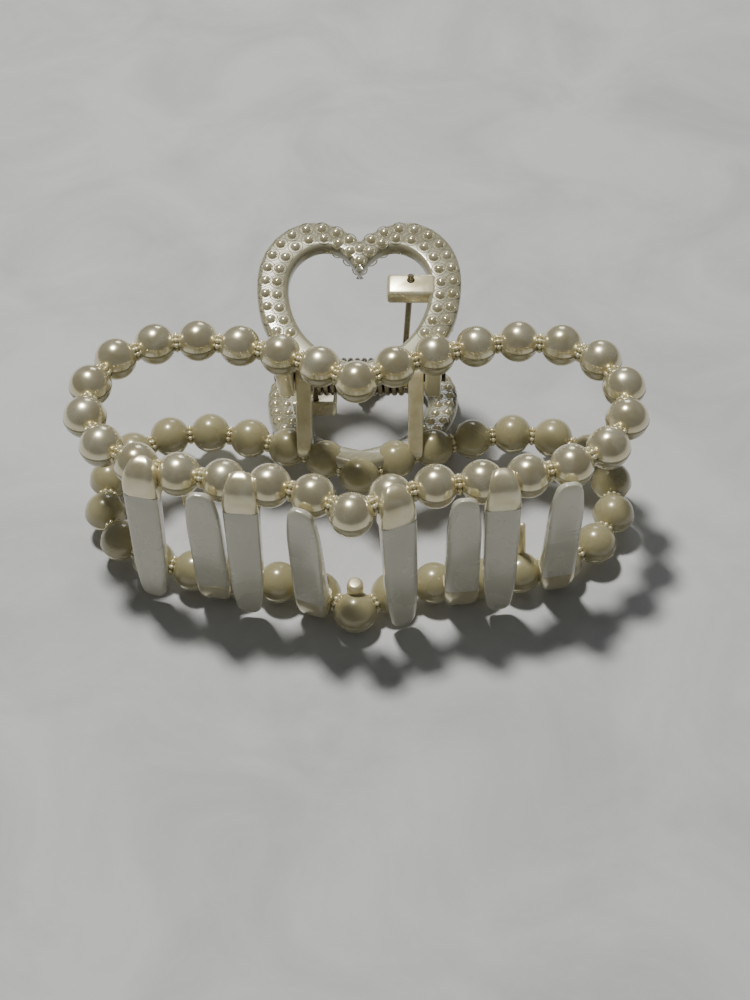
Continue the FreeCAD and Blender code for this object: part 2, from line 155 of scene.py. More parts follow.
class ClipRingSettings(bpy.types.PropertyGroup):
    """Sizes of the two pearl rings."""
    half_width: length("Half width", "Ring centre line, middle to side", 51.6)
    crest_rise: length("Crest rise", "Back crests behind the middle dip", 11.4)
    front_depth: length("Front depth", "Front middle pearl ahead of the dip", 33.8)
    half_gap: length("Half gap", "Ring plane above the middle plane, at the dip", 13.8)
    flare: tilted("Flare", "How the jaws part towards the front", 1.5)
    pearl: length("Pearl diameter", "Diameter of a moulded pearl", 8.2)
    pitch: length("Pearl pitch", "Spacing of the pearls round the ring", 8.45)
    flash: length("Parting line", "How far the moulding line stands proud", 0.10)
    flash_height: length("Line height", "Half the height of the moulding line", 0.24)
    coat_edge: length("Lacquer edge", "Edge of the lacquer above a pearl's middle", 0.36)
    grain: length("Neck grain", "Diameter of the grains between two pearls", 1.0)
    grain_ring: length("Grain ring", "Radius of each ring of grains", 1.55)
    neck: length("Neck", "Radius of the neck inside the grains", 1.35)


class ClipToothSettings(bpy.types.PropertyGroup):
    """Sizes of the flat teeth and the small spikes."""
    root_width: length("Root width", "Tooth width at its shoulder", 6.7)
    mid_width: length("Middle width", "Tooth width where its taper starts", 6.3)
    tip_width: length("Tip width", "Tooth width at its round tip", 4.2)
    thickness: length("Thickness", "Tooth thickness at the root", 3.4)
    tip_thickness: length("Tip thickness", "Tooth thickness at the tip", 1.7)
    standoff: length("Standoff", "Tooth back ahead of the pearl centres", 1.4)
    shoulder_rise: length("Shoulder rise", "Top of the shoulder above the pearl centres", 4.1)
    shoulder: length("Shoulder", "Height of the rounded shoulder", 7.9)
    shoulder_swell: length("Shoulder swell", "Shoulder ahead of the flat face", 0.3)
    lean: length("Lean", "How far the tip stands ahead of the root", 1.8)
    overrun: length("Overrun", "Tip beyond the other ring's plane", 2.4)
    taper: length("Taper", "Length of the tapered end", 11.0)
    facing: plain("Facing", "Share of the ring's slope followed", 0.6)
    spike_length: length("Spike length", "Spike tip from its pearl's centre", 12.0)
    spike_root: length("Spike root", "Diameter of a spike's root", 2.6)
    spike_tip: length("Spike tip", "Diameter of a spike's tip", 1.2)
    spike_edge: length("Spike edge", "Rounding of a spike's tip", 0.504)
    setback: length("Setback", "Spikes and nub behind their pearl's centre", 2.6)
    nub_length: length("Nub length", "Centre nub from its pearl's centre", 6.0)
    nub: length("Nub diameter", "Diameter of the centre nub", 3.2)
    nub_edge: length("Nub edge", "Rounding of the nub's end", 0.704)


class ClipHeartSettings(bpy.types.PropertyGroup):
    """Sizes of the heart handles."""
    reach: length("Reach", "Widest line behind the ring's dip", 23.0)
    tilt: tilted("Tilt", "Slope of a heart away from the ring", 12.0)
    root_drop: length("Root drop", "Heart plane inside the ring plane, at the dip", 2.0)
    half_width: length("Half width", "Middle to the outside of a lobe", 20.4)
    lobe_rise: length("Lobe rise", "Lobe tops beyond the widest line", 15.6)
    cusp_rise: length("Cusp rise", "Outer cusp beyond the widest line", 11.0)
    point_drop: length("Point drop", "Outer point before the widest line", 24.0)
    band: length("Band width", "Width of the heart's band", 6.5)
    point_band: length("Point band", "Length of the band at its point", 5.6)
    rim: length("Rim", "Rounding of the band's edges", 1.1)
    cusp_band: length("Cusp band", "Band length at the cusp", 8.4)
    thickness: length("Thickness", "Thickness of the band", 3.2)
    seed: length("Seed diameter", "Diameter of a seed pearl", 2.5)
    seed_rise: length("Seed rise", "Seed pearl above the band", 0.7)
    seed_pitch: length("Seed pitch", "Spacing of the seed pearls", 3.15)
    seed_run: length("Seed run", "Seed rows go on this far past the ring's back crests", 2.205)
    outer_row: plain("Outer row", "Outer seed row as a share of the band", 0.27)
    inner_row: plain("Inner row", "Inner seed row as a share of the band", 0.64)
    cusp_row: plain("Cusp row", "Inner seed at the cusp as a share of its band", 0.62)
    cell: length("Cell radius", "Radius of the fine ridge round each seed", 1.5)
    cell_ridge: length("Cell ridge", "Thickness of that ridge", 0.24)


class ClipHingeSettings(bpy.types.PropertyGroup):
    """Sizes of the hinge ears, pin, spring and blocks."""
    reach: length("Reach", "Hinge axis behind the ring's dip", 14.8)
    ear: length("Ear radius", "Radius of an ear's round end", 4.0)
    foot: length("Ear foot", "Width of an ear where it grows from its ring", 6.4)
    foot_short: length("Foot inset", "Ear's foot short of the pearls' centres", 1.92)
    inner_face: length("Inner face", "Inner face of a lower ear from the middle", 9.85)
    inner_thickness: length("Inner ear", "Thickness of a lower ear", 3.1)
    outer_thickness: length("Outer ear", "Thickness of an upper ear", 3.2)
    gap: length("Ear gap", "Gap between a lower and an upper ear", 0.3)
    edge: length("Ear edge", "Rounding of the ears' edges", 0.45)
    boss: length("Boss length", "Boss that carries one end of the coil", 2.0)
    boss_gap: length("Boss gap", "Radial gap between a boss and the coil", 0.35)
    boss_edge: length("Boss edge", "Rounding of a boss's edges", 0.3)
    pin: length("Pin diameter", "Diameter of the hinge pin", 2.0)
    pin_clearance: length("Pin clearance", "Radial clearance of the upper ears' bores", 0.06)
    stick_out: length("Pin ends", "Pin beyond the upper ears", 1.0)
    pin_inset: length("Pin inset", "Width of the ring peened round a pin's end", 0.28)
    pin_edge: length("Pin edge", "Rounding of the pin's ends", 0.2)
    wire: length("Wire diameter", "Diameter of the spring wire", 1.25)
    coil: length("Coil diameter", "Outer diameter of the coil", 7.8)
    coil_pitch: length("Coil pitch", "Spacing of the turns", 1.38)
    turns: bpy.props.IntProperty(name="Turns", description="Turns of the coil", default=13)
    leg_out: length("Leg end", "Leg beyond its block", 1.0)
    leg_clearance: length("Leg clearance", "Radial clearance of a block's bore", 0.12)
    block_root: length("Block root", "Block inside the heart's band", 1.6)
    block_length: length("Block length", "Block beyond the heart's inner edge", 8.4)
    block_width: length("Block width", "Width of a spring block", 5.3)
    block_height: length("Block height", "Height of a spring block", 3.5)
    block_edge: length("Block edge", "Rounding of a block's edges", 0.9)


class ClipFinishSettings(bpy.types.PropertyGroup):
    """Colours of the finishes."""
    cream: colour("Cream", "Lacquer colour in its depth", CREAM)
    # Ivory is also mixed into every pearl lacquer where it is seen edge-on, as a painted sheen at the rim.
    ivory: colour("Ivory", "Lacquer colour where it is thickest", IVORY)
    satin: colour("Satin", "Colour of the teeth", SATIN)
    bare: colour("Bare", "Colour of the uncoated plastic", BARE)
    heart: colour("Heart", "Colour of the heart bands", HEART_CREAM)
    steel: colour("Spring wire", "Colour of the spring", STEEL)
    dark_steel: colour("Pin", "Colour of the hinge pin", DARK_STEEL)
    floor: colour("Floor", "Colour of the floor", FLOOR_PALE)


class ClipStageSettings(bpy.types.PropertyGroup):
    """Camera and lights."""
    elevation: tilted("Elevation", "Camera above the clip's middle plane", 50.0)
    azimuth: tilted("Azimuth", "Camera round towards +X", 2.08)
    roll: tilted("Roll", "Camera turned about its own axis", -1.27)
    distance: length("Distance", "Camera from its target", 319.3)
    target_side: length("Target side", "Camera target beside the middle", 3.7)
    target_ahead: length("Target ahead", "Camera target ahead of the dip", 18.0)
    lens: plain("Lens", "Focal length in millimetres", 60.1)
    rest_tilt: tilted("Rest tilt", "How the clip tips forward as it lies", 2.472)
    floor_size: length("Floor size", "Side of the square floor", 1600.0)


SETTINGS = {
    "clip_ring": ClipRingSettings,
    "clip_tooth": ClipToothSettings,
    "clip_heart": ClipHeartSettings,
    "clip_hinge": ClipHingeSettings,
    "clip_finish": ClipFinishSettings,
    "clip_stage": ClipStageSettings,
}


# ------------------------------------------------------------------- placing

def half_matrices():
    """How a shape drawn for the upper half is laid in the frame, for each half.

    Shapes are drawn with +X along the hinge, +Y back to the hearts and z = 0 between the
    halves; the lower half is the upper one after half a turn about Y.
    """
    scene = bpy.context.scene
    drawn_hinge = Vector((0.0, scene.clip_hinge.reach, 0.0))
    lay = Matrix.Translation(HINGE_PLACE)
    lay = lay @ Matrix.Rotation(scene.clip_stage.rest_tilt, 4, "X")
    lay = lay @ Matrix.Translation(-drawn_hinge)
    return {"upper": lay, "lower": lay @ Matrix.Rotation(math.pi, 4, "Y")}


def heart_matrix():
    """From the flat drawing of a heart to the upper half's drawing."""
    scene = bpy.context.scene
    heart = scene.clip_heart
    height = scene.clip_ring.half_gap - heart.root_drop + heart.reach * math.tan(heart.tilt)
    return Matrix.Translation((0.0, heart.reach, height)) @ Matrix.Rotation(heart.tilt, 4, "X")


# ------------------------------------------------------------------- outlines

def spline_line(points, samples, tangents=None):
    """Points evenly spaced along a cubic spline, free at its ends or with given tangents."""
    given = np.array([tuple(p) for p in points], float)
    steps = np.linalg.norm(np.diff(given, axis=0), axis=1)
    slopes = np.diff(given, axis=0) / steps[:, None]
    knots = np.concatenate([[0.0], np.cumsum(steps)])
    count = len(given)
    matrix = np.eye(count)
    right = np.zeros(given.shape)
    for i in range(1, count - 1):
        matrix[i, i - 1:i + 2] = steps[i - 1], 2 * (steps[i - 1] + steps[i]), steps[i]
        right[i] = 6 * (slopes[i] - slopes[i - 1])
    if tangents:
        matrix[0, :2] = 2 * steps[0], steps[0]
        matrix[-1, -2:] = steps[-1], 2 * steps[-1]
        right[0] = 6 * (slopes[0] - np.array(tangents[0]))
        right[-1] = 6 * (np.array(tangents[1]) - slopes[-1])
    bend = np.linalg.solve(matrix, right)
    fine = np.linspace(0.0, knots[-1], samples * 8 + 1)
    span = np.clip(np.searchsorted(knots, fine, side="right") - 1, 0, count - 2)
    width = steps[span][:, None]
    a = (knots[span + 1] - fine)[:, None]
    b = (fine - knots[span])[:, None]
    line = (bend[span] * a ** 3 + bend[span + 1] * b ** 3) / (6 * width)
    line += (given[span] / width - bend[span] * width / 6) * a
    line += (given[span + 1] / width - bend[span + 1] * width / 6) * b
    travelled = np.concatenate([[0.0], np.cumsum(np.linalg.norm(np.diff(line, axis=0), axis=1))])
    wanted = np.linspace(0.0, travelled[-1], samples + 1)
    return np.stack([np.interp(wanted, travelled, line[:, k]) for k in range(3)], axis=1)


def ring_side(samples):
    """The right side of the upper ring's centre line, from the dip to the front."""
    ring = bpy.context.scene.clip_ring
    flat = [(0.0, 0.0)]
    flat += [(sx * ring.half_width, sy * ring.crest_rise) for sx, sy in RING_BACK]
    flat += [(sx * ring.half_width, -sy * ring.front_depth) for sx, sy in RING_FRONT]
    flat.append((0.0, -ring.front_depth))
    slope = math.tan(ring.flare)
    return spline_line([(x, y, ring.half_gap - y * slope) for x, y in flat], samples,
                       ((1.0, 0.0, 0.0), (-1.0, 0.0, 0.0)))


def pearl_centres():
    """Centres of the upper ring's pearls, evenly spaced and the same on both sides."""
    ring = bpy.context.scene.clip_ring
    along = np.linalg.norm(np.diff(ring_side(LINE_SAMPLES), axis=0), axis=1).sum()
    right = [Vector(p) for p in ring_side(round(along / ring.pitch))]
    return right + [Vector((-p.x, p.y, p.z)) for p in reversed(right[1:-1])]


def ring_station(x, front):
    """Point of the ring's front or back run at x, and the run's heading there, towards +X."""
    line = ring_side(LINE_SAMPLES)
    found = []
    for a, b in zip(line, line[1:]):
        if (a[0] - abs(x)) * (b[0] - abs(x)) <= 0:
            found.append((a + (b - a) * (abs(x) - a[0]) / (b[0] - a[0]), b - a))
    point, along = min(found, key=lambda f: f[0][1] if front else -f[0][1])
    side = math.copysign(1, x)
    return Vector((side * point[0], point[1], point[2])), side * math.atan(along[1] / along[0])


def heart_side(half_width, lobe_rise, cusp_rise, point_drop, side_shares, samples):
    """Right side of a flat heart outline, from cusp to point."""
    across, up = LOBE_START
    points = [(0.0, cusp_rise), (across * half_width, cusp_rise + up * (lobe_rise - cusp_rise))]
    points += [(sx * half_width, sy * lobe_rise) for sx, sy in HEART_TOP]
    points += [(sx * half_width, -sy * point_drop) for sx, sy in side_shares]
    points.append((0.0, -point_drop))
    return spline_line([(x, y, 0.0) for x, y in points], samples)


def heart_edges(samples):
    """The right sides of the rim's and the window's outlines."""
    heart = bpy.context.scene.clip_heart
    rim = heart_side(heart.half_width, heart.lobe_rise, heart.cusp_rise, heart.point_drop,
                     RIM_SIDE, samples)
    window = heart_side(heart.half_width - heart.band, heart.lobe_rise - heart.band,
                        heart.cusp_rise - heart.cusp_band, heart.point_drop - heart.point_band,
                        WINDOW_SIDE, samples)
    return rim, window


# ------------------------------------------------------------- modelling tools

def start_piece(add, name, **settings):
    """Add a primitive with nothing else selected, and return its object."""
    bpy.ops.object.select_all(action="DESELECT")
    add(**settings)
    piece = bpy.context.object
    piece.name = name
    piece.data.name = name
    bpy.ops.object.transform_apply(location=True, rotation=True, scale=True)
    return piece


def choose(*pieces):
    """Select only these pieces, with the first one active."""
    bpy.ops.object.select_all(action="DESELECT")
    for piece in pieces:
        piece.select_set(True)
    bpy.context.view_layer.objects.active = pieces[0]


def pick(piece, kind, test):
    """Select the vertices, edges or faces that pass a test, then open edit mode."""
    modes = {"vertices": "VERT", "edges": "EDGE", "polygons": "FACE"}
    bpy.ops.object.mode_set(mode="EDIT")
    bpy.ops.mesh.select_mode(type=modes[kind])
    bpy.ops.mesh.select_all(action="DESELECT")
    bpy.ops.object.mode_set(mode="OBJECT")
    for element in getattr(piece.data, kind):
        element.select = test(element)
    bpy.ops.object.mode_set(mode="EDIT")


def leave_edit():
    """Back to object mode."""
    bpy.ops.object.mode_set(mode="OBJECT")


def with_modifier(piece, kind, **settings):
    """Give a piece a modifier and apply it."""
    choose(piece)
    modifier = piece.modifiers.new(kind.title(), kind)
    for key, value in settings.items():
        setattr(modifier, key, value)
    bpy.ops.object.modifier_apply(modifier=modifier.name)


def rounded(piece, width, segments):
    """Round a piece's sharp edges."""
    with_modifier(piece, "BEVEL", width=width, segments=segments, limit_method="ANGLE",
                  angle_limit=SHARP_EDGE)


def bored(piece, radius, start, direction, depth):
    """Cut a round hole through a piece."""
    turn = direction.to_track_quat("Z", "Y").to_euler()
    drill = start_piece(bpy.ops.mesh.primitive_cylinder_add, "drill", vertices=32, radius=radius,
                        depth=depth, location=start, rotation=turn)
    with_modifier(piece, "BOOLEAN", operation="DIFFERENCE", solver="EXACT", object=drill)
    bpy.data.objects.remove(drill)


def joined(name, objects):
    """Join finished objects into one piece."""
    choose(*objects)
    if len(objects) > 1:
        bpy.ops.object.join()
    piece = bpy.context.object
    piece.name = name
    piece.data.name = name
    return piece


def copied(template, matrix, name):
    """A copy of a piece, with its own mesh carried by a matrix."""
    copy = template.copy()
    copy.data = template.data.copy()
    copy.data.transform(matrix)
    copy.name = name
    bpy.context.collection.objects.link(copy)
    return copy


def repeated(template, matrices, name):
    """Copies of a template at each matrix, joined; the template is used up."""
    copies = [copied(template, matrix, name + "_copy") for matrix in matrices]
    bpy.data.objects.remove(template)
    return joined(name, copies)


def smooth(piece):
    """Smooth shading that keeps sharp edges."""
    choose(piece)
    bpy.ops.object.shade_smooth_by_angle(angle=SHARP_EDGE)


def hand_over(piece, half, nodes, material):
    """Finish a piece: its material, its body, and the CAD nodes it stands for."""
    piece.data.materials.clear()
    piece.data.materials.append(material)
    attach(piece, half + "_half")
    if nodes:
        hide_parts(*nodes)


def on_both_halves(template, name, nodes, material):
    """Lay one drawn piece in both halves; nodes are named without their half."""
    for half, matrix in half_matrices().items():
        piece = copied(template, matrix, half + "_" + name)
        smooth(piece)
        hand_over(piece, half, [half + "_" + node for node in nodes], material)
    bpy.data.objects.remove(template)


def start_curve(add):
    """Add a curve primitive and empty it, ready for poly_line."""
    bpy.ops.object.select_all(action="DESELECT")
    add()
    bpy.context.object.data.splines.clear()
    return bpy.context.object


def poly_line(curve, points, closed=False):
    """Add a line through points to a curve."""
    spline = curve.splines.new("POLY")
    spline.points.add(len(points) - 1)
    spline.use_cyclic_u = closed
    for target, place in zip(spline.points, points):
        target.co = (place[0], place[1], place[2], 1.0)


# ------------------------------------------------------------------ materials

def node(tree, kind, sockets=None, **values):
    """Add a node, and set its plain attributes and its unlinked sockets."""
    made = tree.nodes.new(kind)
    for key, value in values.items():
        setattr(made, key, value)
    fill(made, sockets or {})
    return made


def fill(made, sockets):
    """Set the values of a node's input sockets."""
    for key, value in sockets.items():
        made.inputs[key].default_value = value


def connect(tree, *ways):
    """Link sockets; each way is a source node, its output, a target node and its input."""
    for source, output, target, entry in ways:
        tree.links.new(source.outputs[output], target.inputs[entry])


def new_group(name, inputs):
    """A shader group with its two ends, object coordinates, and a finish's three outputs."""
    group = bpy.data.node_groups.new(name, "ShaderNodeTree")
    for label, default in inputs:
        kind = "NodeSocketColor" if isinstance(default, tuple) else "NodeSocketFloat"
        socket = group.interface.new_socket(name=label, in_out="INPUT", socket_type=kind)
        socket.default_value = default
    for label, kind in (("Color", "NodeSocketColor"), ("Roughness", "NodeSocketFloat"),
                        ("Normal", "NodeSocketVector")):
        group.interface.new_socket(name=label, in_out="OUTPUT", socket_type=kind)
    ends = (node(group, kind) for kind in ("NodeGroupInput", "NodeGroupOutput"))
    return (group, *ends, node(group, "ShaderNodeTexCoord"))


def lacquer_group():
    """Depth of a pearl lacquer: slow colour clouds, uneven gloss and a fine orange-peel skin."""
    if "lacquer_depth" in bpy.data.node_groups:
        return bpy.data.node_groups["lacquer_depth"]
    group, entry, leave, place = new_group("lacquer_depth", (
        ("Deep", CREAM), ("Thick", IVORY), ("Cloud Scale", 260.0), ("Gloss", 0.16),
        ("Skin Scale", 2600.0), ("Skin", 0.05)))
    clouds = node(group, "ShaderNodeTexNoise",
                  {"Detail": 4.0, "Roughness": 0.55, "Distortion": 0.6})
    spread = node(group, "ShaderNodeMapRange", {"From Min": 0.35, "From Max": 0.65})
    blend = node(group, "ShaderNodeMix", data_type="RGBA")
    uneven = node(group, "ShaderNodeMath", {1: 0.10}, operation="MULTIPLY_ADD")
    peel = node(group, "ShaderNodeTexNoise", {"Detail": 2.0})
    bump = node(group, "ShaderNodeBump", {"Distance": 0.02 * MM})
    connect(group,
            (place, "Object", clouds, "Vector"), (entry, "Cloud Scale", clouds, "Scale"),
            (clouds, "Fac", spread, "Value"), (spread, "Result", blend, "Factor"),
            (entry, "Deep", blend, "A"), (entry, "Thick", blend, "B"),
            (blend, "Result", leave, "Color"),
            (spread, "Result", uneven, 0), (entry, "Gloss", uneven, 2),
            (uneven, "Value", leave, "Roughness"),
            (place, "Object", peel, "Vector"), (entry, "Skin Scale", peel, "Scale"),
            (entry, "Skin", bump, "Strength"), (peel, "Fac", bump, "Height"),
            (bump, "Normal", leave, "Normal"))
    return group


def wire_group():
    """Drawn metal: fine lengthwise scratches and slightly tarnished patches."""
    if "drawn_metal" in bpy.data.node_groups:
        return bpy.data.node_groups["drawn_metal"]
    group, entry, leave, place = new_group("drawn_metal", (
        ("Bright", STEEL), ("Tarnish", DARK_STEEL), ("Patch Scale", 420.0), ("Gloss", 0.24)))
    patches = node(group, "ShaderNodeTexNoise", {"Detail": 5.0})
    blend = node(group, "ShaderNodeMix", data_type="RGBA")
    uneven = node(group, "ShaderNodeMath", {1: 0.20}, operation="MULTIPLY_ADD")
    stretch = node(group, "ShaderNodeMapping", {"Scale": (9000.0, 2500.0, 2500.0)})
    scratches = node(group, "ShaderNodeTexNoise", {"Scale": 1.0})
    bump = node(group, "ShaderNodeBump", {"Strength": 0.15, "Distance": 0.02 * MM})
    connect(group,
            (place, "Object", patches, "Vector"), (entry, "Patch Scale", patches, "Scale"),
            (patches, "Fac", blend, "Factor"),
            (entry, "Bright", blend, "A"), (entry, "Tarnish", blend, "B"),
            (blend, "Result", leave, "Color"),
            (patches, "Fac", uneven, 0), (entry, "Gloss", uneven, 2),
            (uneven, "Value", leave, "Roughness"),
            (place, "Object", stretch, "Vector"), (stretch, "Vector", scratches, "Vector"),
            (scratches, "Fac", bump, "Height"), (bump, "Normal", leave, "Normal"))
    return group


def new_material(name, sockets):
    """A material, its node tree and its Principled shader, with the shader's values set."""
    material = bpy.data.materials.new(name)
    material.use_nodes = True
    shader = material.node_tree.nodes["Principled BSDF"]
    fill(shader, sockets)
    return material, material.node_tree, shader


def use_group(tree, shader, group, sockets):
    """Place a group, set its values and feed the shader from it."""
    placed = node(tree, "ShaderNodeGroup", node_tree=group)
    fill(placed, sockets)
    connect(tree, (placed, "Color", shader, "Base Color"),
            (placed, "Roughness", shader, "Roughness"), (placed, "Normal", shader, "Normal"))
    return placed


def pearl_material(name):
    """Cream pearl lacquer over moulded plastic, with a painted sheen: ivory is mixed into the colour where
    the surface is seen edge-on, in place of a reflection at the rim.
    """
    if name in bpy.data.materials:
        return bpy.data.materials[name]
    finish = bpy.context.scene.clip_finish
    metallic, gloss, subsurface = PEARL_FINISHES[name]
    material, tree, shader = new_material(name, {
        "Metallic": metallic, "IOR": 1.5, "Coat Weight": 0.9, "Coat Roughness": 0.12,
        "Subsurface Weight": subsurface, "Subsurface Radius": (1.0, 0.8, 0.4),
        "Subsurface Scale": 1.5 * MM})
    placed = use_group(tree, shader, lacquer_group(),
                       {"Deep": finish.cream, "Thick": finish.ivory, "Gloss": gloss})
    # Painted sheen: the colour turns ivory where the surface is seen edge-on, standing in for the rim's
    # reflection.
    edge = node(tree, "ShaderNodeLayerWeight", {"Blend": 0.35})
    painted_rim_sheen = node(tree, "ShaderNodeMix", data_type="RGBA")
    fill(painted_rim_sheen, {"B": finish.ivory})
    connect(tree, (edge, "Facing", painted_rim_sheen, "Factor"), (placed, "Color", painted_rim_sheen, "A"),
            (painted_rim_sheen, "Result", shader, "Base Color"))
    return material


def plastic_material(name):
    """Translucent moulded plastic with a smooth skin, where no pearl lacquer reaches."""
    if name in bpy.data.materials:
        return bpy.data.materials[name]
    finish = bpy.context.scene.clip_finish
    tint = {"satin_pearl": finish.satin, "bare_plastic": finish.bare,
            "heart_plastic": finish.heart}[name]
    material, tree, shader = new_material(name, {
        "Metallic": 0.12, "Coat Weight": 0.8, "Coat Roughness": 0.10,
        "Subsurface Weight": 0.35, "Subsurface Radius": (1.0, 0.9, 0.7),
        "Subsurface Scale": 1.5 * MM})
    paler = tuple(c * 1.12 for c in tint[:3]) + (1.0,)
    use_group(tree, shader, lacquer_group(), {
        "Deep": tint, "Thick": paler, "Cloud Scale": 90.0, "Gloss": 0.22,
        "Skin Scale": 1800.0, "Skin": 0.03})
    return material


def metal_material(name, bright, tarnish, gloss):
    """Drawn steel of the spring or pin."""
    if name in bpy.data.materials:
        return bpy.data.materials[name]
    material, tree, shader = new_material(name, {"Metallic": 1.0})
    use_group(tree, shader, wire_group(), {"Bright": bright, "Tarnish": tarnish, "Gloss": gloss})
    return material


def floor_material():
    """Pale matt surface with faint mottling."""
    pale = bpy.context.scene.clip_finish.floor[:3]
    material, tree, shader = new_material("pale_floor", {"Roughness": 0.62})
    place = node(tree, "ShaderNodeTexCoord")
    mottle = node(tree, "ShaderNodeTexNoise",
                  {"Scale": 26.0, "Detail": 9.0, "Roughness": 0.6, "Distortion": 0.8})
    spread = node(tree, "ShaderNodeMapRange", {"From Min": 0.3, "From Max": 0.6})
    shade = node(tree, "ShaderNodeMix", data_type="RGBA")
    fill(shade, {"A": tuple(c * 0.84 for c in pale) + (1.0,),
                 "B": tuple(min(1.0, c * 1.08) for c in pale) + (1.0,)})
    connect(tree, (place, "Object", mottle, "Vector"), (mottle, "Fac", spread, "Value"),
            (spread, "Result", shade, "Factor"), (shade, "Result", shader, "Base Color"))
    return material


# ----------------------------------------------------------------- the pieces

class CLIP_OT_pearls(bpy.types.Operator):
    """Model the pearls of both rings, lacquered outside their fine parting line"""
    bl_idname = "clip.pearls"
    bl_label = "Pearls"

    def execute(self, context):
        ring = context.scene.clip_ring
        radius = ring.pearl / 2
        pearl = start_piece(bpy.ops.mesh.primitive_uv_sphere_add, "pearl", segments=48,
                            ring_count=24, radius=radius)
        for height in (ring.flash_height, -ring.flash_height):
            pick(pearl, "vertices", lambda v: True)
            bpy.ops.mesh.bisect(plane_co=(0, 0, height), plane_no=(0, 0, 1))
        pick(pearl, "vertices", lambda v: abs(v.co.z) < ring.flash_height / 2)
        swell = 1 + ring.flash / radius
        bpy.ops.transform.resize(value=(swell, swell, 1), center_override=(0, 0, 0))
        leave_edit()
        flare = Matrix.Rotation(-ring.flare, 4, "X")
        places = [Matrix.Translation(centre) @ flare for centre in pearl_centres()]
        back = copied(pearl, Matrix.Identity(4), "pearl_back")
        for piece, outer in ((pearl, True), (back, False)):
            pick(piece, "vertices", lambda v: True)
            bpy.ops.mesh.bisect(plane_co=(0, 0, ring.coat_edge), plane_no=(0, 0, 1),
                                use_fill=True, clear_inner=outer, clear_outer=not outer)
            leave_edit()
        on_both_halves(repeated(pearl, places, "pearls"), "pearls", ["bead_loop"],
                       pearl_material("ring_pearl"))
        on_both_halves(repeated(back, places, "pearl_backs"), "pearl_backs", [],
                       plastic_material("bare_plastic"))
        return {"FINISHED"}


class CLIP_OT_neck_grains(bpy.types.Operator):
    """Model the short necks between the pearls, each ringed with small grains"""
    bl_idname = "clip.neck_grains"
    bl_label = "Neck grains"

    def execute(self, context):
        ring = context.scene.clip_ring
        core = start_piece(bpy.ops.mesh.primitive_cylinder_add, "neck", vertices=20,
                           radius=ring.neck, depth=2 * ring.grain)
        with_modifier(core, "BEVEL", width=ring.grain * 0.3, segments=2)
        grain = start_piece(bpy.ops.mesh.primitive_uv_sphere_add, "grain", segments=10,
                            ring_count=6, radius=ring.grain / 2)
        out = Matrix.Translation((ring.grain_ring, 0, 0))
        step = 2 * math.pi / GRAINS_AROUND
        spokes = [Matrix.Rotation(step * i, 4, "Z") @ out for i in range(GRAINS_AROUND)]
        neck = joined("neck", [core, repeated(grain, spokes, "grains")])
        centres = pearl_centres()
        places = []
        for a, b in zip(centres, centres[1:] + centres[:1]):
            turn = (b - a).to_track_quat("Z", "Y").to_matrix().to_4x4()
            places.append(Matrix.Translation((a + b) / 2) @ turn)
        necks = repeated(neck, places, "neck_grains")
        on_both_halves(necks, "neck_grains", [],
                       pearl_material("grain_lacquer"))
        return {"FINISHED"}


def shoulder_sections():
    """Sections of the rounded shoulder, as (height, half width, front, back)."""
    tooth = bpy.context.scene.clip_tooth
    root, back = tooth.root_width / 2, tooth.standoff / 2
    deep = tooth.standoff + tooth.thickness + tooth.shoulder_swell - back
    foot = tooth.shoulder_rise - tooth.shoulder
    dome_foot = foot + tooth.shoulder * (1 - DOME_SHARE)
    sections = []
    for i in range(DOME_STEPS):
        angle = math.radians(DOME_START_DEG) * (1 - i / (DOME_STEPS - 1))
        round_off = math.cos(angle)
        rise = tooth.shoulder * DOME_SHARE * math.sin(angle)
        sections.append((dome_foot + rise, root * round_off ** DOME_SIDE_POWER,
                         back + deep * round_off ** DOME_FRONT_POWER, back))
    spread = root * FOOT_SPREAD
    flush = tooth.standoff + tooth.thickness + FOOT_PROUD
    sections.append((foot + tooth.shoulder * FOOT_SHARE, spread, back + deep * FOOT_DEPTH, back))
    sections.append((foot, spread, flush, back))
    return sections


def blade_sections(reach):
    """Sections of the flat blade from inside the shoulder down to the round tip."""
    tooth = bpy.context.scene.clip_tooth
    root, mid, tip = tooth.root_width / 2, tooth.mid_width / 2, tooth.tip_width / 2
    outer = tooth.standoff + tooth.thickness
    taper_top = tooth.taper - reach
    top = tooth.shoulder_rise - tooth.shoulder * BLADE_TOP_SHARE
    heights = list(np.linspace(top, taper_top, 8)[:-1])
    heights += [-reach + tooth.taper * (1 - i / 10) for i in range(8)]
    round_top = -reach + tooth.taper * TIP_SHARE
    heights += [-reach + (round_top + reach) * (1 - math.sin(math.radians(a)))
                for a in TIP_STEPS_DEG]
    sections = []
    for height in heights:
        down = -height / reach
        share = max(0.0, (taper_top - height) / tooth.taper)
        half = root + (mid - root) * min(1.0, height / taper_top)
        half -= (mid - tip) * share ** TAPER_POWER
        tip_share = min(1.0, (height + reach) / (round_top + reach))
        arc = math.sqrt(max(0.0, 1 - (1 - tip_share) ** 2))
        thick = tooth.thickness + (tooth.tip_thickness - tooth.thickness) * down
        front = outer + tooth.lean * down
        middle = front - thick / 2
        depth = thick / 2 * (TIP_LEAST_DEPTH + (1 - TIP_LEAST_DEPTH) * arc)
        half *= TIP_LEAST_WIDTH + (1 - TIP_LEAST_WIDTH) * arc
        sections.append((height, half, middle + depth, middle - depth))
    return sections


